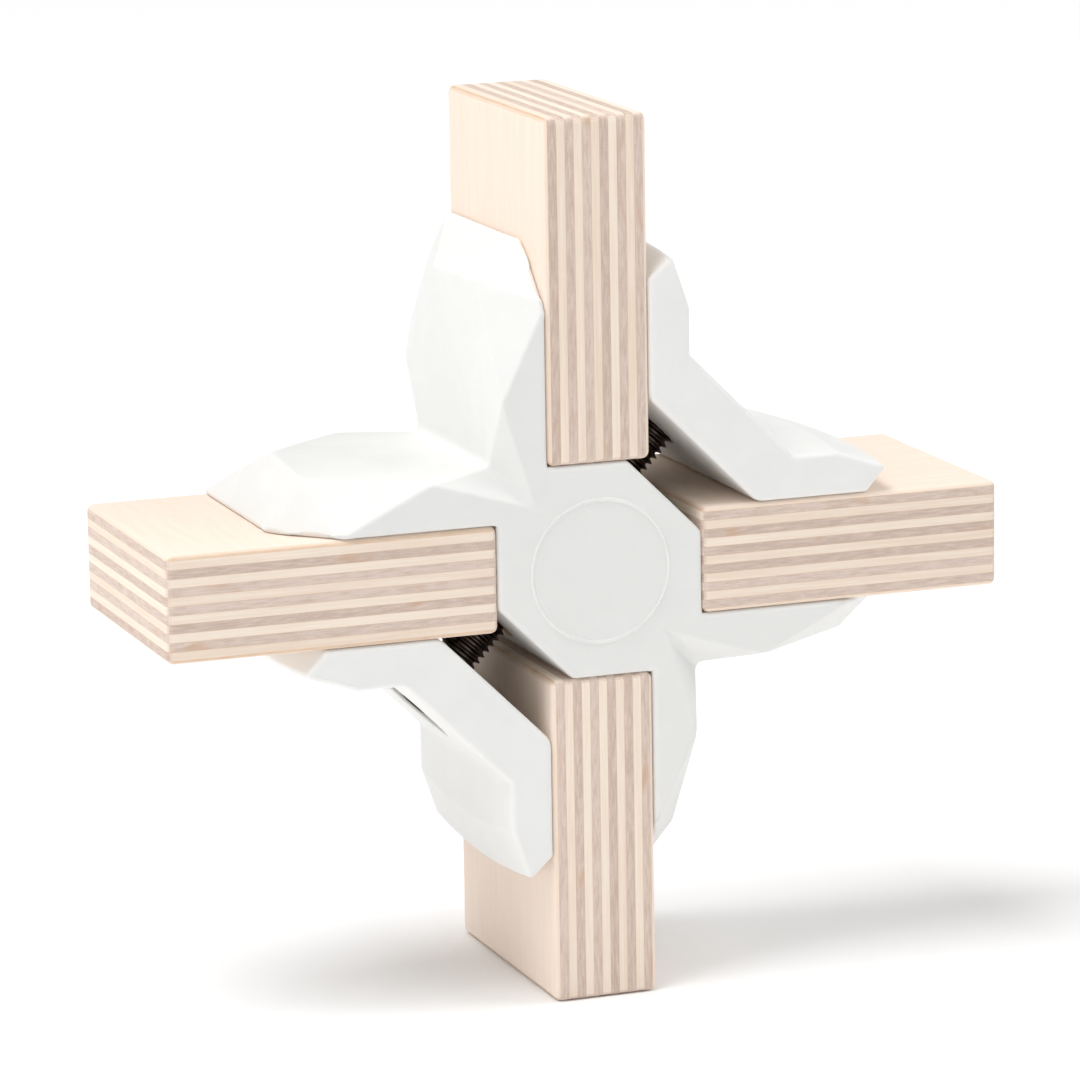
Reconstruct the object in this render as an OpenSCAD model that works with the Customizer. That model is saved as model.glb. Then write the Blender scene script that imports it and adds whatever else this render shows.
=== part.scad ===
// Four-way connector for sheet material, with four plywood panels clamped in it.
// Millimetres, +Z up. X runs to the right, Y from the front face to the back, and the origin is
// the centre of the bottom panel's end face, on which the part stands.

/* [Panels] */
// Thickness of the plywood panels
panel_t = 18; // [15:0.5:19]
// Width of every panel, and depth of the connector
depth = 46.8; // [44:0.2:52]
// Number of veneers in the plywood, thin faces included
veneers = 13; // [9:2:15]
// Thickness of one face veneer
face_veneer = 0.75; // [0.5:0.05:1]
// Length of the top panel
top_len = 57.6; // [50:0.1:80]
// Length of the right panel
right_len = 53.6; // [50:0.1:80]
// Length of the bottom panel
bottom_len = 55.1; // [50:0.1:80]
// Length of the left panel
left_len = 56.6; // [50:0.1:80]
// Radius on the panels' corners
panel_r = 1; // [0.5:0.1:1.5]

/* [Connector] */
// Half the width of the square core that the panels butt against
core_half = 18; // [17:0.5:20]
// Distance of a chamfered core corner from the core's centre, along the diagonal
core_diag = 16.3; // [15.8:0.1:17]
// Radius of the raised ring on the front of the core
ring_r = 12; // [8:0.5:12.5]
// Height of the raised ring
ring_h = 0.25; // [0.15:0.05:0.4]

/* [Clamp jaws] */
// Distance of a jaw's inner slope from the core's centre, along the diagonal
jaw_inner = 26.2; // [25.5:0.1:27]
// Thickness of a jaw across the diagonal
jaw_t = 9.9; // [9.4:0.1:11]
// Reach of a jaw's arms from the core's centre
jaw_reach = 51.6; // [50:0.2:54]
// Thickness of a jaw's arms over the panel
arm_t = 7.4; // [6.5:0.1:8]

/* [Screws] */
// Thread diameter
screw_d = 8; // [8:8]
// Thread pitch
pitch = 1.25; // [1:0.25:1.25]
// Length of a screw under its head
screw_len = 25; // [22:0.5:27]
// Diameter of the screw head
head_d = 13; // [12:0.5:13.5]
// Height of the low screw head
head_h = 5; // [4:0.1:5.2]
// Width across the flats of the key socket
key_af = 5; // [4:0.5:6]

/* [Hidden] */

$fn = 64;
half_t = panel_t / 2;
core_z = core_half + bottom_len;         // height of the core's centre above the bottom end
gap = 0.02;                              // clearance that keeps clamped faces from overlapping
face_a = half_t + gap;                   // a clamping face's distance from the panel's mid-plane
ply_t = (panel_t - 2 * face_veneer) / (veneers - 2);
arc_steps = 6;                           // straight steps in a rounded corner
washer_d = 15;
washer_t = 1.6;
recess_d = washer_d + 0.6;
head_sink = 0.3;                         // depth of the head's top below the jaw's slope
recess_h = head_sink + head_h + washer_t;
jaw_outer = jaw_inner + jaw_t;
seat = jaw_outer - recess_h;             // the washer's seat, along the diagonal
clear_d = screw_d + 1;                   // clearance hole in a jaw
insert_d = 11;
insert_from = 2.6;                       // inner end of an insert, along the diagonal
thread_fit = 0.05;                       // radial running clearance of a screw in its insert
thread_depth = 0.61 * pitch;
tip_bevel = 1;

PLASTIC = [0.93, 0.93, 0.92];
STEEL = [0.10, 0.10, 0.11];
BRASS = [0.78, 0.62, 0.30];
LIGHT_WOOD = [0.95, 0.88, 0.80];
DARK_WOOD = [0.80, 0.70, 0.65];

// The arc of radius r that rounds the corner b of the outline a-b-c.
function corner_arc(a, b, c, r) =
    let (u = (a - b) / norm(a - b),
         v = (c - b) / norm(c - b),
         half = acos(u * v) / 2,
         centre = b + (u + v) / norm(u + v) * r / sin(half),
         start = b + u * r / tan(half) - centre,
         turn = (u[0] * v[1] - u[1] * v[0] > 0 ? -1 : 1) * (180 - 2 * half))
    [for (i = [0 : arc_steps])
        let (t = turn * i / arc_steps)
        centre + [start[0] * cos(t) - start[1] * sin(t), start[0] * sin(t) + start[1] * cos(t)]];

// An outline with the corner radius of each point given as its third number.
function rounded(points) =
    let (n = len(points))
    [for (i = [0 : n - 1])
        let (a = points[(i + n - 1) % n], b = points[i], c = points[(i + 1) % n])
        each b[2] > 0
            ? corner_arc([a[0], a[1]], [b[0], b[1]], [c[0], c[1]], b[2])
            : [[b[0], b[1]]]];

// Moves a child from the core's own place to its height in the part.
module at_core() {
    translate([0, 0, core_z]) children();
}

// Extrudes an X-Z outline from the front face to the back face.
module through(y0 = -depth / 2, y1 = depth / 2) {
    translate([0, y1, 0]) rotate([90, 0, 0]) linear_extrude(y1 - y0) children();
}

// Turns a child's Z axis onto the diagonal that points up and to the right.
module on_diagonal() {
    rotate([0, 45, 0]) children();
}

// ---- plywood panels ----------------------------------------------------------------------

// One panel, lying along +X from the core's face, with its corners rounded.
module panel_blank(length) {
    x0 = core_half + gap;
    x1 = core_half + length;
    through() polygon(rounded([
        [x0, -half_t, panel_r], [x1, -half_t, panel_r],
        [x1, half_t, panel_r], [x0, half_t, panel_r]
    ]));
}

// Height of the lower face of veneer i, counted from the panel's mid-plane.
function veneer_z(i) = i == 0 ? -half_t : i == veneers ? half_t : -half_t + face_veneer + (i - 1) * ply_t;

// The veneers of one panel whose numbers are given, as separate layers of the blank.
module veneer_layers(length, numbers) {
    for (i = numbers) {
        intersection() {
            panel_blank(length);
            translate([0, -depth, veneer_z(i)]) cube([200, 2 * depth, veneer_z(i + 1) - veneer_z(i)]);
        }
    }
}

// Turns a panel that lies along +X into its place in the cross.
module place_panel(turn) {
    at_core() rotate([0, -turn, 0]) children();
}

module face_veneers(length, turn, tint) {
    color(tint) place_panel(turn) veneer_layers(length, [0, veneers - 1]);
}

module cross_plies(length, turn, tint) {
    color(tint) place_panel(turn) veneer_layers(length, [1 : 2 : veneers - 2]);
}

module parallel_plies(length, turn, tint) {
    color(tint) place_panel(turn) veneer_layers(length, [2 : 2 : veneers - 3]);
}

// ---- connector body ----------------------------------------------------------------------

// One arm of a fixed jaw: a faceted wedge on the panel that stands up from the core. Each point
// is its distance from the panel's mid-plane, its depth behind the front face and its height
// above the core's centre. ridge_in moves the front ridge's outer end towards the core.
module fixed_arm(ridge_in) {
    a = face_a;
    contact = [
        [a, 0, a], [a, 0, 45.2], [a, 8.5, 53.5], [a, 10.8, 55],
        [a, depth, 54.8], [a, depth, a]
    ];
    front = [[11.3, 0, 11.3], [16.8, 0, 29.1]];
    ridges = [
        [17.8 - ridge_in, 9.4, 48.4 - ridge_in],
        [19.3 - ridge_in / 2, 26, 48.3],
        [18.1, 3.9, 18.1],
        [18.3, depth - 9.3, 18.3]
    ];
    back = [[13, depth, 13], [17.4, depth, 29.8], [16.3, depth, 36], [12.7, depth, 47]];
    points = concat(contact, front, ridges, back);
    hull() polyhedron(
        points = [for (p = points) [-p[0], p[1] - depth / 2, p[2]]],
        faces = [for (i = [1 : len(points) - 2]) [0, i, i + 1]]
    );
}

// A fixed jaw: an arm on the top panel and its mirror image, about the diagonal, on the left one.
module fixed_jaw(ridge_in) {
    fixed_arm(ridge_in);
    rotate([0, -90, 0]) mirror([1, 0, 0]) fixed_arm(ridge_in);
}

// Outline of the core: square faces for the panels, two chamfered corners for the screws and
// two corners that run into the fixed jaws.
function core_outline() =
    let (h = core_half, c = core_diag * sqrt(2) - core_half, w = half_t, j = 11)
    [
        [-h, w, 0], [-j, j, 0], [-w, h, 0], [c, h, 1.5], [h, c, 1.5],
        [h, -w, 0], [j, -j, 0], [w, -h, 0], [-c, -h, 1.5], [-h, -c, 1.5]
    ];

// The raised ring on the front of the core, a thin bead with sloping sides.
module ring_bead() {
    translate([0, -depth / 2, 0]) rotate([90, 0, 0]) rotate_extrude() polygon([
        [ring_r - ring_h - 0.1, -0.5], [ring_r - ring_h - 0.1, 0], [ring_r - 0.1, ring_h],
        [ring_r + 0.1, ring_h], [ring_r + ring_h + 0.1, 0], [ring_r + ring_h + 0.1, -0.5]
    ]);
}

// The pocket that holds one threaded insert, open at the chamfered corner.
module insert_pocket() {
    on_diagonal() translate([0, 0, insert_from]) cylinder(h = core_diag, d = insert_d);
}

module connector_body() {
    color(PLASTIC) at_core() difference() {
        union() {
            through() polygon(rounded(core_outline()));
            fixed_jaw(0);
            rotate([0, 180, 0]) fixed_jaw(2);
            ring_bead();
        }
        insert_pocket();
        rotate([0, 180, 0]) insert_pocket();
    }
}

// ---- clamp hardware, along the upper right diagonal ----------------------------------------

// Turns what is made for the upper right diagonal into the lower left one when lower is true.
module on_side(lower) {
    at_core() rotate([0, lower ? 180 : 0, 0]) children();
}

// A threaded insert, bored to clear the rings that stand for the screw's thread.
module insert(lower) {
    color(BRASS) on_side(lower) on_diagonal() difference() {
        translate([0, 0, insert_from]) cylinder(h = core_diag - insert_from - 0.1, d = insert_d);
        cylinder(h = core_diag + 1, r = screw_d / 2 + thread_fit);
    }
}

// Outline of a clamp jaw: two arms that lie on the panels, joined by a slope.
function jaw_outline() =
    let (a = face_a,
         i = jaw_inner * sqrt(2) - a,
         o = half_t + arm_t,
         s = jaw_outer * sqrt(2) - o,
         half = [
            [a, i, 3], [a, jaw_reach - 3.8, 1.4], [13.3, jaw_reach, 0.8],
            [o, jaw_reach - 9.2, 2], [o, s, 1]
         ])
    concat(half, [for (k = [len(half) - 1 : -1 : 0]) [half[k][1], half[k][0], half[k][2]]]);

module jaw(lower) {
    color(PLASTIC) on_side(lower) difference() {
        through() polygon(rounded(jaw_outline()));
        on_diagonal() cylinder(h = 60, d = clear_d);
        on_diagonal() translate([0, 0, seat]) cylinder(h = 20, d = recess_d);
    }
}

module washer(lower) {
    color(STEEL) on_side(lower) on_diagonal() translate([0, 0, seat]) difference() {
        cylinder(h = washer_t, d = washer_d);
        translate([0, 0, -1]) cylinder(h = washer_t + 2, d = screw_d + 0.4);
    }
}

// Half outline of the threaded shank, with one pointed ring for each turn of the thread.
function shank_outline() =
    let (r = screw_d / 2,
         core_r = r - thread_depth,
         turns = floor((screw_len - tip_bevel - 1) / pitch))
    concat(
        [[0, 0], [core_r - 0.4, 0], [core_r, tip_bevel]],
        [for (i = [0 : turns - 1]) let (z = tip_bevel + i * pitch) each [
            [core_r, z + 0.1], [r, z + pitch * 0.44], [r, z + pitch * 0.56], [core_r, z + pitch - 0.05]
        ]],
        [[core_r, screw_len + 0.5], [0, screw_len + 0.5]]
    );

// A low-head socket screw with its head on the washer.
module screw(lower) {
    seat_z = seat + washer_t;
    color(STEEL) on_side(lower) on_diagonal() difference() {
        union() {
            translate([0, 0, seat_z - screw_len]) rotate_extrude() polygon(shank_outline());
            translate([0, 0, seat_z]) cylinder(h = head_h, d = head_d);
        }
        translate([0, 0, seat_z + head_h - 2.8]) cylinder(h = 4, d = key_af / cos(30), $fn = 6);
    }
}

// The left panel is cut across the face grain, so its dark and light layers change places.
connector_body();
insert(false);  // upper_insert
insert(true);  // lower_insert
jaw(false);  // upper_jaw
jaw(true);  // lower_jaw
washer(false);  // upper_washer
washer(true);  // lower_washer
screw(false);  // upper_screw
screw(true);  // lower_screw
face_veneers(top_len, 90, LIGHT_WOOD);  // top_face_veneers
cross_plies(top_len, 90, DARK_WOOD);  // top_cross_plies
parallel_plies(top_len, 90, LIGHT_WOOD);  // top_parallel_plies
face_veneers(right_len, 0, LIGHT_WOOD);  // right_face_veneers
cross_plies(right_len, 0, DARK_WOOD);  // right_cross_plies
parallel_plies(right_len, 0, LIGHT_WOOD);  // right_parallel_plies
face_veneers(bottom_len, 270, LIGHT_WOOD);  // bottom_face_veneers
cross_plies(bottom_len, 270, DARK_WOOD);  // bottom_cross_plies
parallel_plies(bottom_len, 270, LIGHT_WOOD);  // bottom_parallel_plies
face_veneers(left_len, 180, DARK_WOOD);  // left_face_veneers
cross_plies(left_len, 180, LIGHT_WOOD);  // left_cross_plies
parallel_plies(left_len, 180, DARK_WOOD);  // left_parallel_plies
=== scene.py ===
"""Looks of the four-way sheet connector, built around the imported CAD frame.

Every piece is modelled in millimetres about the core's centre, with X to the right, Y from the
front face to the back and Z up. It is then turned about Y, scaled to metres and moved to its place.
"""

import math
import random

import bmesh
import bpy
import numpy as np
from mathutils import Matrix, Vector


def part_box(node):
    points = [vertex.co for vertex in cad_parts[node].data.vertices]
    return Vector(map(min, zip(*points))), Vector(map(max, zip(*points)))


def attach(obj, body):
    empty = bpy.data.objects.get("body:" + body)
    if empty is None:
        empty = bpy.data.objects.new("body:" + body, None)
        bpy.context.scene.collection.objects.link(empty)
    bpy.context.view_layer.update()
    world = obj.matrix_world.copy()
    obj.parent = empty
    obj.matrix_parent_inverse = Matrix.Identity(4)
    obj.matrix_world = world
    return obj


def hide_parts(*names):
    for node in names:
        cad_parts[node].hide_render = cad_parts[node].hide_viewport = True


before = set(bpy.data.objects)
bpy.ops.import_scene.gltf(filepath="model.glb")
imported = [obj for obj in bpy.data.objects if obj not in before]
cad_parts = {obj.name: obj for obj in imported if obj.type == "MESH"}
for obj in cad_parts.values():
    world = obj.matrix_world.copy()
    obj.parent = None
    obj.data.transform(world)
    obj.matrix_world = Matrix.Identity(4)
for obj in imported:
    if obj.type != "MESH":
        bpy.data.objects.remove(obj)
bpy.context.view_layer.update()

MM = 0.001

# ---- sizes, in millimetres -------------------------------------------------------------------

board_low, board_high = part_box("right_face_veneers")
CORE_Z = (board_low.z + board_high.z) / 2 / MM
PANEL_T = (board_high.z - board_low.z) / MM
DEPTH = (board_high.y - board_low.y) / MM
CORE_HALF = 18                      # from the core's centre to the sides the panels butt against
GAP = 0.02                          # clearance between clamped faces
PANEL_START = CORE_HALF + GAP
FACE_A = PANEL_T / 2 + GAP          # distance of a clamping face from the panel's mid-plane
SEAT_A = FACE_A - 0.015             # the panels' seats, cut free of the hollows' fillets
SEAT_END = CORE_HALF + 0.01
SEAT_EDGE = 0.2                     # radius round the seats

PANELS = {                          # each panel's turn about Y, and the way it points
    "top": (90, Vector((0, 0, 1))),
    "right": (0, Vector((1, 0, 0))),
    "bottom": (270, Vector((0, 0, -1))),
    "left": (180, Vector((-1, 0, 0))),
}
VENEERS = 13
FACE_VENEER = 0.75
PLY = (PANEL_T - 2 * FACE_VENEER) / (VENEERS - 2)
BOARD_EDGE = 1.2                    # radius on the edges of the boards
FIRST_SEED = 40                     # random seed of the first panel, the others count on from it

CORE_DIAG = 16.3                    # from the core's centre to its chamfers, along the diagonal
CORE_CORNER = 1.5                   # radius between the core's sides and its chamfers
NOTCH = 11                          # the core stops here under a fixed jaw
NOTCH_FILLET = 1
MOULD_EDGE = 1.0                    # radius on the edges of the mouldings
FILLET = 1.3                        # radius in the hollows of the mouldings
RING_R = 12
RING_H = 0.25
RING_W = 0.7                        # width of the bead across its foot
RING_DETAIL = 0.6                   # the mesh is finer within this distance of the ring

JAW_INNER = 26.2                    # a clamp jaw's slopes, along the diagonal
JAW_OUTER = 36.1
JAW_INSIDE = 3.0                    # radius where a jaw's slope meets its pads
JAW_REACH = 51.6
ARM_OUTER = 16.4                    # an arm's outer face, from the panel's mid-plane
ARM_EDGE = 2                        # radius between an arm's outer face and its tip
TIP_EDGE = 0.8                      # radius between the two planes of a tip
TIP_CORNER = (13.3, JAW_REACH)      # (x, z) where those planes meet on the upper jaw
TIP_BULGE = 0.8                     # how much further the tips reach at mid-depth
BEYOND_TIP = (14, 60)               # an (x, z) point outside the upper jaw's tip

SCREW_R = 4
PITCH = 1.25
THREAD_DEPTH = 0.6134 * PITCH
THREAD_FIT = 0.05                   # radial clearance of a screw in its insert
SCREW_LEN = 25                      # under the head
HEAD_R = 6.5
HEAD_H = 5
HEAD_SINK = 0.3                     # depth of the head's top below the jaw's slope
KEY_AF = 5                          # the socket, across its flats
KEY_DEEP = 2.8
WASHER_R = 7.5
WASHER_T = 1.6
RECESS_R = 7.8
CLEAR_R = 4.5
HOLE_EDGE = 0.4                     # radius round the mouths of recesses and bores
SEAT = JAW_OUTER - HEAD_SINK - HEAD_H - WASHER_T    # the washer's seat, along the diagonal
INSERT_R = 5.5
INSERT_FROM = 2.6                   # an insert's inner end, along the diagonal

COARSE = 1.0  # grid step of the moulded skins
GRID_LEAD = 1.6 * COARSE            # how far in front of the solid a grid starts
NET_REACH = 0.6 * COARSE            # how far the first vertices may move to the surface
SPLIT_REACH = 0.25 * COARSE         # the same once faces have been split
BEND_LIMITS = (5, 9, 90)            # degrees across a face that make each level split it
FOLDED = 0.6                        # a face is folded if its cosine to the field is below this
PARALLEL = 0.99995                  # cosine above which two surfaces leave no edge to round
ACUTE = 0.6                         # edges with 1 + cosine below this get a smaller radius,
LEAST_RADIUS = 0.15                 # but no less than this share of it

# ---- rounded solids as distance fields ---------------------------------------------------------
#
# A field takes an array of points and gives each one's distance outside the solid's surface,
# negative inside, with the outward unit direction there. Solids are met, joined and cut with a
# radius on the edge that this makes, and skin() turns the result into a mesh.


def flat(points, normal, offset):
    """Field of the half-space on the inner side of a plane."""
    normal = np.asarray(normal, float) / np.linalg.norm(normal)
    return points @ normal - offset, np.broadcast_to(normal, points.shape)


def through_plane(points, a, b, outside):
    """Half-space whose plane runs along Y through the (x, z) points a and b, away from outside."""
    normal = np.array((b[1] - a[1], 0, a[0] - b[0]), float)
    normal /= np.linalg.norm(normal)
    if normal[0] * (outside[0] - a[0]) + normal[2] * (outside[1] - a[1]) < 0:
        normal = -normal
    return flat(points, normal, normal[0] * a[0] + normal[2] * a[1])


def slab(points, half):
    """Everything between the front and the back plane."""
    sign = np.where(points[:, 1] > 0, 1.0, -1.0)
    grad = np.zeros_like(points)
    grad[:, 1] = sign
    return np.abs(points[:, 1]) - half, grad


def rod(points, axis, radius):
    """Endless round rod through the core's centre."""
    axis = np.asarray(axis, float)
    across = points - np.outer(points @ axis, axis)
    length = np.maximum(np.linalg.norm(across, axis=1), 1e-9)
    return length - radius, across / length[:, None]


def flip(field):
    return -field[0], -field[1]


def meet(a, b, radius):
    """Intersection of two fields. The edge between them is rounded to radius, or less if acute."""
    (fa, ga), (fb, gb) = a, b
    cosine = (ga * gb).sum(1)
    radius = radius * np.clip((1 + cosine) / ACUTE, LEAST_RADIUS, 1)
    spread = np.maximum(1 - cosine * cosine, 1e-9)
    u, v = fa + radius, fb + radius
    alpha, beta = (u - cosine * v) / spread, (v - cosine * u) / spread
    first = fa > fb
    value, grad = np.where(first, fa, fb), np.where(first[:, None], ga, gb)
    edge = np.nonzero((alpha > 0) & (beta > 0) & (np.abs(cosine) < PARALLEL))[0]
    away = alpha[edge, None] * ga[edge] + beta[edge, None] * gb[edge]
    length = np.maximum(np.linalg.norm(away, axis=1), 1e-9)
    value[edge], grad[edge] = length - radius[edge], away / length[:, None]
    return value, grad


def join(a, b, radius):
    """Union of two fields, with a fillet of that radius in the corner between them."""
    return flip(meet(flip(a), flip(b), radius))


def cut(a, b, radius):
    return meet(a, flip(b), radius)


def meet_all(fields, radius):
    whole = fields[0]
    for field in fields[1:]:
        whole = meet(whole, field, radius)
    return whole


def hull_planes(points):
    """Unit normals and offsets of the faces of the points' convex hull."""
    bm = bmesh.new()
    bmesh.ops.convex_hull(bm, input=[bm.verts.new(p) for p in points])
    bmesh.ops.dissolve_limit(bm, angle_limit=math.radians(0.5), verts=bm.verts, edges=bm.edges)
    normals = np.array([face.normal for face in bm.faces])
    centres = np.array([face.calc_center_median() for face in bm.faces])
    bm.free()
    return normals, (normals * centres).sum(1)


def hull(points, planes, radius):
    """Convex solid with its edges rounded, from its planes. Only points near it are rounded."""
    normals, offsets = planes
    distances = points @ normals.T - offsets
    worst = distances.argmax(1)
    value, grad = distances[np.arange(len(points)), worst], normals[worst]
    near = np.abs(value) < 3 + 2 * radius
    sides = [
        (distances[near, i], np.broadcast_to(n, (near.sum(), 3))) for i, n in enumerate(normals)
    ]
    value[near], grad[near] = meet_all(sides, radius)
    return value, grad


def moved(field, points, matrix):
    """The field of a solid turned or mirrored by matrix."""
    value, grad = field(points @ matrix)
    return value, grad @ matrix.T


# ---- meshes from fields ------------------------------------------------------------------------


def grid_values(field, axes, block=4):
    """Field values on a grid, worked out only in the blocks of cells near the surface."""
    step = axes[0][1] - axes[0][0]
    middles = [a[::block] + (block - 1) / 2 * step for a in axes]
    coarse = field(np.stack(np.meshgrid(*middles, indexing="ij"), -1).reshape(-1, 3))[0]
    values = coarse.reshape([len(m) for m in middles])
    for axis in range(3):
        values = values.repeat(block, axis)
    values = values[: len(axes[0]), : len(axes[1]), : len(axes[2])].copy()
    near = np.argwhere(np.abs(values) < block * step)
    points = np.stack([axes[i][near[:, i]] for i in range(3)], 1)
    values[tuple(near.T)] = field(points)[0]
    return values


def net_quads(inside, cell_of):
    """Quads that cross every grid edge whose ends are on opposite sides of the surface."""
    quads = []
    for axis in range(3):
        u, v = (axis + 1) % 3, (axis + 2) % 3
        low, high = np.delete(inside, -1, axis), np.delete(inside, 0, axis)
        at = np.argwhere(low != high)
        outward = low[tuple(at.T)]
        corners = []
        for du, dv in ((-1, -1), (0, -1), (0, 0), (-1, 0)):
            cell = at.copy()
            cell[:, u] += du
            cell[:, v] += dv
            corners.append(cell_of[tuple(cell.T)])
        quad = np.stack(corners, 1)
        quad[~outward] = quad[~outward][:, ::-1]
        quads.append(quad)
    return np.concatenate(quads)


def settle(field, start, reach):
    """Moves points onto the surface, no further than reach, and gives the directions there."""
    points = start
    for _ in range(4):
        value, grad = field(points)
        points = start + np.clip(points - value[:, None] * grad - start, -reach, reach)
    return points, field(points)[1]


def unfold(bm, field, normals):
    """Smooths out the few faces that point away from the field's own direction."""
    bm.verts.index_update()
    suspects = bm.faces[:]
    for _ in range(8):
        bm.normal_update()
        folded = set()
        for face in suspects:
            expected = normals[[v.index for v in face.verts]].mean(0)
            if face.normal.dot(Vector(expected)) < FOLDED:
                folded.update(face.verts)
        if not folded:
            break
        folded = sorted(folded, key=lambda v: v.index)
        bmesh.ops.smooth_vert(
            bm, verts=folded, factor=0.5, use_axis_x=True, use_axis_y=True, use_axis_z=True
        )
        normals[[v.index for v in folded]] = field(np.array([v.co for v in folded]))[1]
        suspects = list({face for vert in folded for face in vert.link_faces})
    return normals


def corners_inside(inside):
    """How many of the eight corners of each grid cell are inside the solid."""
    nx, ny, nz = (n - 1 for n in inside.shape)
    return sum(
        inside[i : i + nx, j : j + ny, k : k + nz].astype(int)
        for i in (0, 1) for j in (0, 1) for k in (0, 1)
    )


def skin(name, field, low, high, detail=None):
    """Mesh object of a field's surface, in the square from low to high in both x and z.

    It is finer where it bends, and finer still where detail(centre) is true. No grid plane may lie
    in a flat face of the solid, so low is chosen to keep the planes clear of them.
    """
    starts, ends = (low, -DEPTH / 2 - GRID_LEAD, low), (high, DEPTH / 2 + 3, high)
    axes = [np.arange(a, b, COARSE) for a, b in zip(starts, ends)]
    inside = grid_values(field, axes) < 0
    count = corners_inside(inside)
    cells = np.argwhere((count > 0) & (count < 8))
    cell_of = np.full(count.shape, -1)
    cell_of[tuple(cells.T)] = np.arange(len(cells))
    quads = net_quads(inside, cell_of)
    centres = np.stack([axes[i][cells[:, i]] + COARSE / 2 for i in range(3)], 1)
    points, normals = settle(field, centres, NET_REACH)

    bm = bmesh.new()
    verts = [bm.verts.new(p) for p in points]
    for quad in quads:
        bm.faces.new([verts[i] for i in quad])
    for level in range(3 if detail else 2):
        bm.verts.index_update()
        edges = set()
        for face in bm.faces:
            directions = normals[[v.index for v in face.verts]]
            bends = (directions @ directions.T).min() < math.cos(math.radians(BEND_LIMITS[level]))
            if bends or (detail and detail(face.calc_center_median())):
                edges.update(face.edges)
        bmesh.ops.subdivide_edges(bm, edges=list(edges), cuts=1, use_grid_fill=True)
        points, normals = settle(field, np.array([v.co for v in bm.verts]), SPLIT_REACH)
        for vert, point in zip(bm.verts, points):
            vert.co = point
    normals = unfold(bm, field, normals)
    obj = new_object(name, bm)
    obj.data.shade_smooth()
    obj.data.normals_split_custom_set_from_vertices(normals)
    return obj


# ---- mesh helpers ----------------------------------------------------------------------------


def turn_y(degrees):
    return Matrix.Rotation(math.radians(degrees), 4, "Y")


def new_object(name, bm):
    """A mesh object, still in millimetres, from bm."""
    mesh = bpy.data.meshes.new(name)
    bm.to_mesh(mesh)
    bm.free()
    obj = bpy.data.objects.new(name, mesh)
    bpy.context.scene.collection.objects.link(obj)
    return obj


def place(obj, material, body, slot, *nodes, turn=0):
    """Turns a piece about Y, scales it to metres in its place, parents it to its body's empty and
    hides the CAD parts it stands in for.
    """
    obj.data.transform(Matrix.Scale(MM, 4) @ Matrix.Translation((0, 0, CORE_Z)) @ turn_y(turn))
    obj.data.materials.append(material)
    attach(obj, body)
    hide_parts(*nodes)


def apply_modifiers(obj):
    bpy.context.view_layer.update()
    mesh = bpy.data.meshes.new_from_object(obj.evaluated_get(bpy.context.evaluated_depsgraph_get()))
    obj.modifiers.clear()
    obj.data = mesh


def combine(obj, other, operation):
    """Joins the solid other to obj, or cuts it out, and removes other."""
    change = obj.modifiers.new("combine", "BOOLEAN")
    change.operation = operation
    change.object = other
    change.solver = "EXACT"
    apply_modifiers(obj)
    bpy.data.objects.remove(other)


def shade_machined(obj):
    """Smooth shading for a machined piece that keeps its corners sharp and its flats flat."""
    obj.data.shade_smooth()
    obj.data.set_sharp_from_angle(angle=math.radians(50))
    normals = obj.modifiers.new("normals", "WEIGHTED_NORMAL")
    normals.keep_sharp = True


def slice_off(bm, height, way):
    """Cuts away what lies beyond the plane z = height, and closes the cut."""
    everything = bm.verts[:] + bm.edges[:] + bm.faces[:]
    sliced = bmesh.ops.bisect_plane(
        bm, geom=everything, plane_co=(0, 0, height), plane_no=(0, 0, way), clear_outer=True
    )
    rim = [e for e in sliced["geom_cut"] if isinstance(e, bmesh.types.BMEdge)]
    if rim:
        bmesh.ops.contextual_create(bm, geom=rim)


def revolve(name, outline, steps=96):
    """Solid of revolution about Z from (radius, height) corners that go round the section."""
    bm = bmesh.new()
    count = len(outline)
    rings = []
    for i in range(steps):
        angle = 2 * math.pi * i / steps
        c, s = math.cos(angle), math.sin(angle)
        rings.append([bm.verts.new((r * c, r * s, h)) for r, h in outline])
    for i, ring in enumerate(rings):
        after = rings[(i + 1) % steps]
        for j in range(count):
            k = (j + 1) % count
            bm.faces.new((ring[j], after[j], after[k], ring[k]))
    bmesh.ops.remove_doubles(bm, verts=bm.verts, dist=1e-5)
    bmesh.ops.dissolve_degenerate(bm, dist=1e-5, edges=bm.edges)
    bmesh.ops.recalc_face_normals(bm, faces=bm.faces)
    return new_object(name, bm)


# ---- connector body --------------------------------------------------------------------------

DIAGONAL = np.array((1, 0, 1)) / math.sqrt(2)
MIRRORED = np.array(((0, 0, -1), (0, 1, 0), (-1, 0, 0)), float)   # about the fixed jaws' diagonal
SWAPPED = np.array(((0, 0, 1), (0, 1, 0), (1, 0, 0)), float)      # about the screws' diagonal
HALF_TURN = np.diag((-1.0, 1.0, -1.0))


def fixed_arm_planes(ridge_in):
    """Planes of one arm of a fixed jaw, which is a hull. Its ridge is moved in by ridge_in."""
    a = FACE_A
    corners = [
        (a, 0, a), (a, 0, 45.2), (a, 8.5, 53.5), (a, 10.8, 55), (a, DEPTH, 54.8), (a, DEPTH, a),
        (11.3, 0, 11.3), (16.8, 0, 29.1),
        (17.8 - ridge_in, 9.4, 48.4 - ridge_in), (19.3 - ridge_in / 2, 26, 48.3),
        (18.1, 3.9, 18.1), (18.3, DEPTH - 9.3, 18.3),
        (13, DEPTH, 13), (17.4, DEPTH, 29.8), (16.3, DEPTH, 36), (12.7, DEPTH, 47),
    ]
    return hull_planes([(-out, back - DEPTH / 2, up) for out, back, up in corners])


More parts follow.
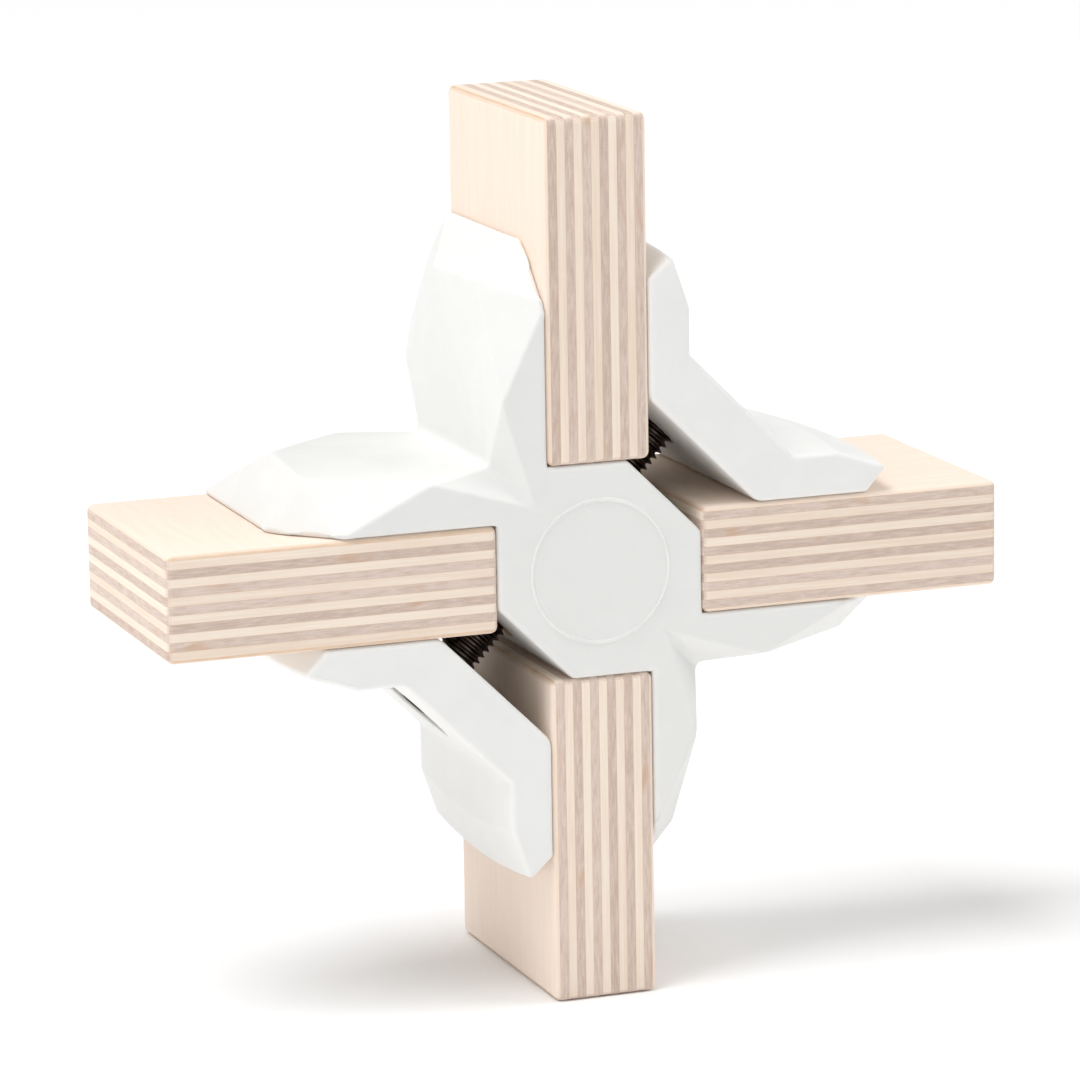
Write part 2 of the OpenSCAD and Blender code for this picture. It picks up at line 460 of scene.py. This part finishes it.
UPPER_ARM = fixed_arm_planes(0)
LOWER_ARM = fixed_arm_planes(2)
ARMS = [
    (UPPER_ARM, np.eye(3)), (UPPER_ARM, MIRRORED),
    (LOWER_ARM, HALF_TURN), (LOWER_ARM, HALF_TURN @ MIRRORED),
]


def front_with_ring(points):
    """The front plane, raised in a thin rounded bead around the ring."""
    out = np.maximum(np.hypot(points[:, 0], points[:, 2]), 1e-6)
    across = np.clip((out - RING_R) / RING_W, -0.5, 0.5) * 2 * np.pi
    slope = np.sin(across) * RING_H * np.pi / RING_W
    grad = points / out[:, None] * slope[:, None]
    grad[:, 1] = -1
    length = np.linalg.norm(grad, axis=1)
    height = RING_H * (1 + np.cos(across)) / 2
    return (-points[:, 1] - DEPTH / 2 - height) / length, grad / length[:, None]


def core(points):
    """The block between the panels, chamfered towards the screws and notched under the jaws."""
    h = CORE_HALF
    sides = [
        flat(points, (1, 0, 0), h), flat(points, (-1, 0, 0), h),
        flat(points, (0, 0, 1), h), flat(points, (0, 0, -1), h),
        flat(points, DIAGONAL, CORE_DIAG), flat(points, -DIAGONAL, CORE_DIAG),
        join(flat(points, (-1, 0, 0), NOTCH), flat(points, (0, 0, 1), NOTCH), NOTCH_FILLET),
        join(flat(points, (1, 0, 0), NOTCH), flat(points, (0, 0, -1), NOTCH), NOTCH_FILLET),
    ]
    block = meet(meet_all(sides, CORE_CORNER), front_with_ring(points), MOULD_EDGE)
    return meet(block, flat(points, (0, 1, 0), DEPTH / 2), MOULD_EDGE)


def body_field(points):
    """The core with both fixed jaws, less the panels' seats and the inserts' pockets."""
    solid = core(points)
    for planes, matrix in ARMS:
        arm = moved(lambda p: hull(p, planes, MOULD_EDGE), points, matrix)
        solid = join(solid, arm, FILLET)
    for _, way in PANELS.values():
        way, across = np.array(way), np.array((way.z, 0, way.x))
        sides = [flat(points, across, SEAT_A), flat(points, -across, SEAT_A)]
        seat = meet_all([flat(points, -way, -SEAT_END)] + sides, 0)
        solid = cut(solid, seat, SEAT_EDGE)
    for way in (DIAGONAL, -DIAGONAL):
        pocket = meet(rod(points, way, INSERT_R), flat(points, -way, -INSERT_FROM), 0)
        solid = cut(solid, pocket, HOLE_EDGE)
    return solid


def on_ring(centre):
    in_front = centre.y < 1 - DEPTH / 2
    return in_front and abs(math.hypot(centre.x, centre.z) - RING_R) < RING_DETAIL


def connector_body(material):
    body = skin("connector_moulding", body_field, -57.3, 57.3, detail=on_ring)
    place(body, material, "connector", "moulded_body", "connector_body")


# ---- clamping jaws ---------------------------------------------------------------------------


def tip_line(points, a, b):
    """Plane across a jaw's tip through (x, z) points a and b, bulging out towards mid-depth."""
    value, grad = through_plane(points, a, b, BEYOND_TIP)
    middle = 2 * points[:, 1] / DEPTH
    grad = grad.copy()
    grad[:, 1] = TIP_BULGE * 4 * middle / DEPTH
    length = np.linalg.norm(grad, axis=1)
    return (value - TIP_BULGE * (1 - middle**2)) / length, grad / length[:, None]


def jaw_arm(points):
    """The part of the upper jaw that lies along the top panel."""
    tip = meet(
        tip_line(points, (FACE_A, 47.8), TIP_CORNER),
        tip_line(points, TIP_CORNER, (ARM_OUTER, 42.4)),
        TIP_EDGE,
    )
    return meet(tip, flat(points, (1, 0, 0), ARM_OUTER), ARM_EDGE)


def jaw_field(points):
    """The upper jaw: two arms and the web that the screw goes through."""
    solid = join(jaw_arm(points), flat(points, DIAGONAL, JAW_OUTER), FILLET)
    solid = join(solid, moved(jaw_arm, points, SWAPPED), FILLET)
    pads = meet(flat(points, (-1, 0, 0), -FACE_A), flat(points, -DIAGONAL, -JAW_INNER), JAW_INSIDE)
    pads = meet(pads, flat(points, (0, 0, -1), -FACE_A), JAW_INSIDE)
    solid = meet(solid, pads, MOULD_EDGE)
    solid = meet(solid, slab(points, DEPTH / 2), MOULD_EDGE)
    recess = meet(rod(points, DIAGONAL, RECESS_R), flat(points, -DIAGONAL, -SEAT), 0)
    solid = cut(solid, recess, HOLE_EDGE)
    return cut(solid, rod(points, DIAGONAL, CLEAR_R), HOLE_EDGE)


def jaw(side, turn, material):
    """A clamp jaw. The lower one is the upper one turned by half a turn."""
    obj = skin(side + "_jaw_moulding", jaw_field, 7.3, 55)
    place(obj, material, side + "_clamp", "moulded_jaw", side + "_jaw", turn=turn)


# ---- screws, washers and inserts -------------------------------------------------------------


def thread(name, low, high, extra=0.0, tapered=False, steps=64):
    """Right-hand thread about Z from low to high, extra wider, and tapered at low if asked."""
    major, minor = SCREW_R + extra, SCREW_R - THREAD_DEPTH + extra
    section = ((0, major), (0.125, major), (0.4375, minor), (0.6875, minor))    # one pitch of it
    first, last = math.floor(low / PITCH) - 2, math.ceil(high / PITCH) + 1
    bm = bmesh.new()
    columns = []
    for i in range(steps + 1):
        angle = 2 * math.pi * i / steps
        column = []
        for turn in range(first, last + 1):
            for phase, radius in section:
                height = (turn + phase + i / steps) * PITCH
                if tapered and height > low:
                    radius = min(radius, minor - 0.1 + height - low)
                at = (radius * math.cos(angle), radius * math.sin(angle), height)
                column.append(bm.verts.new(at))
        columns.append(column)
    for here, after in zip(columns, columns[1:]):
        for j in range(len(here) - 1):
            bm.faces.new((here[j], after[j], after[j + 1], here[j + 1]))
    bmesh.ops.remove_doubles(bm, verts=bm.verts, dist=1e-4)
    slice_off(bm, low, -1)
    slice_off(bm, high, 1)
    bmesh.ops.recalc_face_normals(bm, faces=bm.faces)
    return new_object(name, bm)


def hexagon(name, across_flats, low, high):
    bm = bmesh.new()
    radius = across_flats / math.sqrt(3)
    bmesh.ops.create_cone(
        bm, cap_ends=True, segments=6, depth=high - low, radius1=radius, radius2=radius,
        matrix=Matrix.Translation((0, 0, (low + high) / 2)),
    )
    return new_object(name, bm)


def screw(side, turn, material):
    """Low-head socket screw. The head sits on the washer, the thread reaches into the insert."""
    seat = SEAT + WASHER_T
    top = seat + HEAD_H
    obj = revolve(side + "_clamp_screw", [
        (0, seat), (HEAD_R - 0.3, seat), (HEAD_R, seat + 0.3), (HEAD_R, top - 0.7),
        (HEAD_R - 0.2, top - 0.25), (HEAD_R - 0.65, top), (0, top),
    ])
    combine(obj, hexagon("socket", KEY_AF, top - KEY_DEEP, top + 1), "DIFFERENCE")
    combine(obj, thread("thread", seat - SCREW_LEN, seat + 0.6, tapered=True), "UNION")
    shade_machined(obj)
    place(obj, material, side + "_bolt", "black_steel", side + "_screw", turn=turn)


def washer(side, turn, material):
    """Flat washer, its rims lightly chamfered."""
    inner, outer = SCREW_R + 0.2, WASHER_R
    low, high = SEAT, SEAT + WASHER_T
    obj = revolve(side + "_plain_washer", [
        (inner, low + 0.15), (inner + 0.15, low), (outer - 0.25, low), (outer, low + 0.25),
        (outer, high - 0.25), (outer - 0.25, high), (inner + 0.15, high), (inner, high - 0.15),
    ])
    shade_machined(obj)
    place(obj, material, side + "_clamp", "black_steel", side + "_washer", turn=turn)


def insert(side, turn, material):
    """Threaded brass insert with two grooves round it, just below the core's chamfer."""
    low, high, r = INSERT_FROM, CORE_DIAG - 0.05, INSERT_R - 0.02
    groove = r - 0.5
    outline = [(0, low), (r - 0.4, low), (r, low + 0.4)]
    for middle in (low + 4, low + 9):
        outline += [(r, middle - 1), (groove, middle - 0.6), (groove, middle + 0.6), (r, middle + 1)]
    outline += [(r, high - 0.3), (r - 0.3, high), (0, high)]
    obj = revolve(side + "_brass_insert", outline)
    combine(obj, thread("thread", low + 1.5, high + 1, extra=THREAD_FIT), "DIFFERENCE")
    shade_machined(obj)
    place(obj, material, "connector", "insert_brass", side + "_insert", turn=turn)


# ---- plywood panels --------------------------------------------------------------------------


def rounded_board(length):
    """The whole panel pointing along +X, its edges eased."""
    bm = bmesh.new()
    size = Matrix.Diagonal((length, DEPTH, PANEL_T, 1))
    middle = Matrix.Translation((PANEL_START + length / 2, 0, 0))
    bmesh.ops.create_cube(bm, size=1, matrix=middle @ size)
    bmesh.ops.bevel(
        bm, geom=bm.edges[:], offset=BOARD_EDGE, offset_type="OFFSET", segments=4, profile=0.5,
        affect="EDGES",
    )
    return bm


def veneer_heights():
    """Glue lines and outer faces of a panel, from below."""
    inner = [-PANEL_T / 2 + FACE_VENEER + PLY * i for i in range(VENEERS - 1)]
    return [-PANEL_T / 2] + inner + [PANEL_T / 2]


def veneer(whole, low, high, along_panel, chance):
    """One veneer of the board whole, between the heights low and high.

    It stores its grain coordinates, its height between the glue lines and its tone. Its faces
    store how squarely they cut the grain (end), and how steep they are on a face veneer (band).
    """
    bm = whole.copy()
    slice_off(bm, high, 1)
    slice_off(bm, low, -1)
    shift = Vector((chance.uniform(0, 900), chance.uniform(0, 900), chance.uniform(0, 900)))
    grain = bm.verts.layers.float_vector.new("grain")
    glue = bm.verts.layers.float.new("glue")
    tone = bm.faces.layers.float.new("tone")
    end = bm.faces.layers.float.new("end")
    band = bm.faces.layers.float.new("band")
    is_face_veneer = high - low < 0.9 * PLY
    light = chance.uniform(-1, 1)
    for vert in bm.verts:
        x, y, z = vert.co
        vert[grain] = Vector((x, y, z) if along_panel else (y, x, z)) + shift
        vert[glue] = (2 * z - low - high) / (high - low)
    bm.normal_update()
    for face in bm.faces:
        face[tone] = light
        across = abs(face.normal.x if along_panel else face.normal.y)
        face[end] = min(max((across - 0.35) / 0.45, 0), 1)
        face[band] = 1 - abs(face.normal.z) if is_face_veneer else 0
    return bm


def joined(parts):
    """One bmesh with all of parts in it."""
    whole = bmesh.new()
    for part in parts:
        mesh = bpy.data.meshes.new("part")
        part.to_mesh(mesh)
        whole.from_mesh(mesh)
        part.free()
        bpy.data.meshes.remove(mesh)
    return whole


def panel(side, number, birch_face, birch_long, birch_end):
    """A panel as three pieces: its face veneers, and the plies of each grain direction.

    The left board's plies alternate the other way round from those of the other three.
    """
    chance = random.Random(FIRST_SEED + number)
    turn, way = PANELS[side]
    low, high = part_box(side + "_face_veneers")
    whole = rounded_board(abs(((high - low) / MM).dot(way)))
    heights = veneer_heights()
    swapped = side == "left"
    long_grain, end_grain = (birch_long, "birch_long_grain"), (birch_end, "birch_end_grain")
    looks = {
        "face_veneers": (birch_face, "birch_face"),
        "cross_plies": long_grain if swapped else end_grain,
        "parallel_plies": end_grain if swapped else long_grain,
    }
    kinds = {"face_veneers": [], "cross_plies": [], "parallel_plies": []}
    for i, (below, above) in enumerate(zip(heights, heights[1:])):
        kind = "face_veneers" if i in (0, VENEERS - 1) else ("parallel_plies", "cross_plies")[i % 2]
        along = (kind == "cross_plies") == swapped
        kinds[kind].append(veneer(whole, below, above, along, chance))
    whole.free()
    for kind, parts in kinds.items():
        obj = new_object(side + "_birch_" + kind, joined(parts))
        obj.data.shade_smooth()
        obj.data.set_sharp_from_angle(angle=math.radians(40))
        material, slot = looks[kind]
        place(obj, material, side + "_panel", slot, side + "_" + kind, turn=-turn)


# ---- materials -------------------------------------------------------------------------------

# Each birch has the light and dark of its sides, and then the light and dark of its cut ends.
SAWN_BIRCH = (
    (0.95, 0.83, 0.71, 1), (0.85, 0.69, 0.56, 1),
    (0.77, 0.635, 0.555, 1), (0.60, 0.465, 0.385, 1),
)
PEELED_BIRCH = (
    (0.95, 0.81, 0.70, 1), (0.90, 0.74, 0.62, 1),
    (0.80, 0.62, 0.47, 1), (0.70, 0.50, 0.36, 1),
)
WARM_SPOT = (0.62, 0.38, 0.22, 1)       # on cut ends
GLUE_LINE = (0.66, 0.44, 0.28, 1)
SAWN_BAND = (0.80, 0.60, 0.42, 1)       # on the sawn edges of a face veneer
BLACKENED, HANDLED = (0.09, 0.076, 0.064, 1), (0.21, 0.16, 0.115, 1)
BRIGHT_BRASS, DULL_BRASS = (0.82, 0.62, 0.30, 1), (0.55, 0.39, 0.18, 1)


class Graph:
    """A material's node tree, with short calls for adding nodes."""

    def __init__(self, name):
        self.material = bpy.data.materials.new(name)
        self.material.use_nodes = True
        self.tree = self.material.node_tree
        self.shader = self.tree.nodes["Principled BSDF"]

    def add(self, kind, inputs=None, **settings):
        node = self.tree.nodes.new(kind)
        for key, value in settings.items():
            setattr(node, key, value)
        for key, value in (inputs or {}).items():
            self.put(node.inputs[key], value)
        return node

    def put(self, socket, value):
        """Links a node's output to socket, or sets a plain value on it."""
        if isinstance(value, bpy.types.NodeSocket):
            self.tree.links.new(value, socket)
        else:
            socket.default_value = value

    def shade(self, **inputs):
        for key, value in inputs.items():
            self.put(self.shader.inputs[key.replace("_", " ")], value)


def mixed(g, factor, a, b):
    """Colour a where factor is 0 and b where it is 1."""
    node = g.add("ShaderNodeMix", data_type="RGBA")
    g.put(node.inputs["Factor"], factor)
    g.put(node.inputs["A"], a)
    g.put(node.inputs["B"], b)
    return node.outputs["Result"]


def ranged(g, value, from_min, from_max, to_min, to_max):
    node = g.add("ShaderNodeMapRange", {
        "Value": value, "From Min": from_min, "From Max": from_max,
        "To Min": to_min, "To Max": to_max,
    })
    return node.outputs["Result"]


def noise(g, vector, scale, detail, roughness=0.5):
    node = g.add("ShaderNodeTexNoise", {
        "Vector": vector, "Scale": scale, "Detail": detail, "Roughness": roughness,
    })
    return node.outputs["Fac"]


def bumped(g, height, strength, distance):
    node = g.add("ShaderNodeBump", {"Height": height, "Strength": strength, "Distance": distance})
    return node.outputs["Normal"]


def moulded_plastic(name, colour):
    """Matt white plastic: a fine spark-eroded grain with faint cloudy mottling."""
    g = Graph(name)
    at = g.add("ShaderNodeTexCoord").outputs["Object"]
    clouds = noise(g, at, 160.0, 4.0)
    grain = noise(g, at, 3200.0, 2.0, 0.6)
    darker = tuple(c * 0.985 for c in colour[:3]) + (1,)
    paler = tuple(min(c * 1.012, 0.97) for c in colour[:3]) + (1,)
    tint = mixed(g, ranged(g, clouds, 0.35, 0.65, 0, 1), darker, paler)
    g.shade(
        Base_Color=mixed(g, ranged(g, grain, 0.3, 0.7, 0, 0.35), tint, darker),
        Roughness=ranged(g, clouds, 0.3, 0.7, 0.48, 0.58),
        Specular_IOR_Level=0.4,
        Normal=bumped(g, grain, 0.12, 0.00006),
    )
    return g.material


def black_oxide():
    """Blackened steel with a trace of brown where it has been handled."""
    g = Graph("black_oxide_steel")
    at = g.add("ShaderNodeTexCoord").outputs["Object"]
    worn = noise(g, at, 700.0, 5.0, 0.6)
    g.shade(
        Base_Color=mixed(g, ranged(g, worn, 0.4, 0.7, 0, 1), BLACKENED, HANDLED),
        Metallic=1.0,
        Roughness=ranged(g, worn, 0.3, 0.7, 0.28, 0.45),
        Normal=bumped(g, worn, 0.1, 0.00005),
    )
    return g.material


def brass():
    g = Graph("insert_brass")
    at = g.add("ShaderNodeTexCoord").outputs["Object"]
    tarnish = noise(g, at, 500.0, 4.0, 0.6)
    g.shade(
        Base_Color=mixed(g, ranged(g, tarnish, 0.35, 0.7, 0, 1), BRIGHT_BRASS, DULL_BRASS),
        Metallic=1.0,
        Roughness=ranged(g, tarnish, 0.3, 0.7, 0.25, 0.45),
        Normal=bumped(g, tarnish, 0.08, 0.00004),
    )
    return g.material


def birch(name, side_light, side_dark, end_light, end_dark, glued=True):
    """Birch veneer. Streaks follow the grain on its sides, and the cut ends are darker and pored."""
    g = Graph(name)

    def stored(name, output="Fac"):
        return g.add("ShaderNodeAttribute", attribute_name=name).outputs[output]

    def stretched(vector, scale, detail, roughness):
        node = g.add("ShaderNodeVectorMath", {0: vector, 1: scale}, operation="MULTIPLY")
        return noise(g, node.outputs["Vector"], 1.0, detail, roughness)

    def sum_of(*terms):
        total = terms[0]
        for term in terms[1:]:
            total = g.add("ShaderNodeMath", {0: total, 1: term}, operation="ADD").outputs["Value"]
        return total

    grain = stored("grain", "Vector")
    tone, end, glue, band = stored("tone"), stored("end"), stored("glue"), stored("band")
    streaks = stretched(grain, (0.06, 0.7, 1.8), 5.0, 0.6)
    fibres = stretched(grain, (0.25, 6.0, 9.0), 3.0, 0.6)
    rings = stretched(grain, (0.5, 0.3, 2.6), 4.0, 0.65)
    pores = stretched(grain, (0.4, 9.0, 11.0), 2.0, 0.5)
    spots = stretched(grain, (0.09, 0.11, 0.3), 2.0, 0.5)

    lift = ranged(g, tone, -1, 1, -0.3, 0.3)
    side_dark_share = sum_of(
        ranged(g, streaks, 0.3, 0.7, 0, 0.75), ranged(g, fibres, 0.3, 0.7, -0.12, 0.25), lift
    )
    end_dark_share = sum_of(
        ranged(g, rings, 0.32, 0.68, -0.1, 0.95), ranged(g, pores, 0.25, 0.6, 0.4, -0.1), lift
    )
    side_colour = mixed(g, side_dark_share, side_light, side_dark)
    end_colour = mixed(g, end_dark_share, end_light, end_dark)
    spotted = mixed(g, ranged(g, spots, 0.62, 0.74, 0, 0.5), end_colour, WARM_SPOT)
    colour = mixed(g, end, side_colour, spotted)
    colour = mixed(g, ranged(g, band, 0.2, 1.0, 0, 0.75), colour, SAWN_BAND)
    if glued:
        depth = g.add("ShaderNodeMath", {0: glue}, operation="ABSOLUTE").outputs["Value"]
        colour = mixed(g, ranged(g, depth, 0.86, 1.0, 0, 0.55), colour, GLUE_LINE)
    g.shade(
        Base_Color=colour,
        Roughness=ranged(g, fibres, 0.3, 0.7, 0.52, 0.68),
        Specular_IOR_Level=0.3,
        Normal=bumped(g, sum_of(fibres, pores, streaks), 0.25, 0.00008),
    )
    return g.material


# ---- the assembly ----------------------------------------------------------------------------

white_body = moulded_plastic("moulded_body_plastic", (0.825, 0.825, 0.808, 1))
white_jaw = moulded_plastic("moulded_jaw_plastic", (0.86, 0.86, 0.845, 1))
black = black_oxide()
yellow = brass()
birch_face = birch("birch_face", *PEELED_BIRCH, glued=False)
birch_long = birch("birch_long_grain", *SAWN_BIRCH)
birch_end = birch("birch_end_grain", *SAWN_BIRCH)

connector_body(white_body)
for side, turn in (("upper", 45), ("lower", 225)):
    jaw(side, turn - 45, white_jaw)
    screw(side, turn, black)
    washer(side, turn, black)
    insert(side, turn, yellow)
for number, side in enumerate(PANELS):
    panel(side, number, birch_face, birch_long, birch_end)

# ---- studio ----------------------------------------------------------------------------------


def camera():
    """The view from in front, a little to the left and above, with a long lens."""
    data = bpy.data.cameras.new("camera")
    data.sensor_width = 36
    data.lens = 190.12
    data.clip_start = 0.05
    data.clip_end = 20
    obj = bpy.data.objects.new("camera", data)
    yaw, pitch, roll = (math.radians(a) for a in (20.092, 12.121, -0.952))
    turn = Matrix.Rotation(-yaw, 4, "Z") @ Matrix.Rotation(math.pi / 2 - pitch, 4, "X")
    at = Matrix.Translation((-0.3246, -0.8817, 0.2755))
    obj.matrix_world = at @ turn @ Matrix.Rotation(roll, 4, "Z")
    bpy.context.scene.collection.objects.link(obj)
    bpy.context.scene.camera = obj


def softbox(name, location, size, power):
    """A square area light that faces the object."""
    data = bpy.data.lights.new(name, "AREA")
    data.size = size
    data.energy = power
    obj = bpy.data.objects.new(name, data)
    obj.location = location
    aim = Vector((0, 0, CORE_Z * MM)) - Vector(location)
    obj.rotation_euler = aim.to_track_quat("-Z", "Y").to_euler()
    bpy.context.scene.collection.objects.link(obj)


def studio():
    """White surroundings and three large lights."""
    world = bpy.data.worlds.new("studio")
    world.use_nodes = True
    background = world.node_tree.nodes["Background"]
    background.inputs["Color"].default_value = (1, 1, 1, 1)
    background.inputs["Strength"].default_value = 0.485
    bpy.context.scene.world = world
    softbox("key", (-1.6, -0.2, 3.7), 2.4, 112)
    softbox("side", (-2.2, -0.6, 0.35), 1.5, 7)
    softbox("fill", (2.5, -0.55, 2.5), 1.5, 30)


def floor():
    bm = bmesh.new()
    bmesh.ops.create_grid(bm, x_segments=1, y_segments=1, size=6)
    obj = new_object("floor", bm)
    g = Graph("floor")
    g.shade(Base_Color=(0.98, 0.98, 0.98, 1), Roughness=0.9)
    obj.data.materials.append(g.material)


camera()
studio()
floor()
bpy.context.scene.view_settings.view_transform = "Standard"
